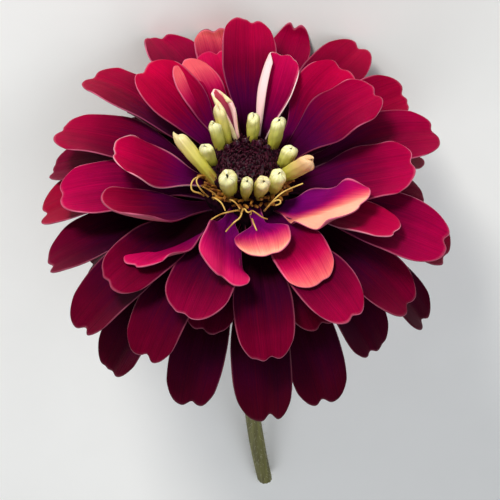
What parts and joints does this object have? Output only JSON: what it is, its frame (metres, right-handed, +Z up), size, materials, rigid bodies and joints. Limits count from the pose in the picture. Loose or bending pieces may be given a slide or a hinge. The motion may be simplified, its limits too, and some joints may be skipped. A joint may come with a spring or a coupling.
{
  "type": "zinnia flower",
  "caption": "Cut double zinnia lying on its side: layered notched ray petals, tubular young florets round a scaly disc, bract cup and ribbed stem.",
  "frame": {"origin": "middle of the bounding box on the surface that the flower lies on", "axes": "+Z up from the surface; the face of the flower looks towards -Y and about 18 degrees up, and the stem runs towards +Y down to its cut end on the surface; +X is the flower's left seen from the front"},
  "size_m": [0.0858, 0.1266, 0.067],
  "materials": {
    "petal": "matte",
    "young_floret": "satin",
    "disc": "matte",
    "bract": "matte",
    "stem": "matte"
  },
  "bodies": {
    "root": {"petals": "petal", "inner_florets": "young_floret", "disc": "disc", "involucre": "bract", "stem": "stem"}
  },
  "joints": []
}
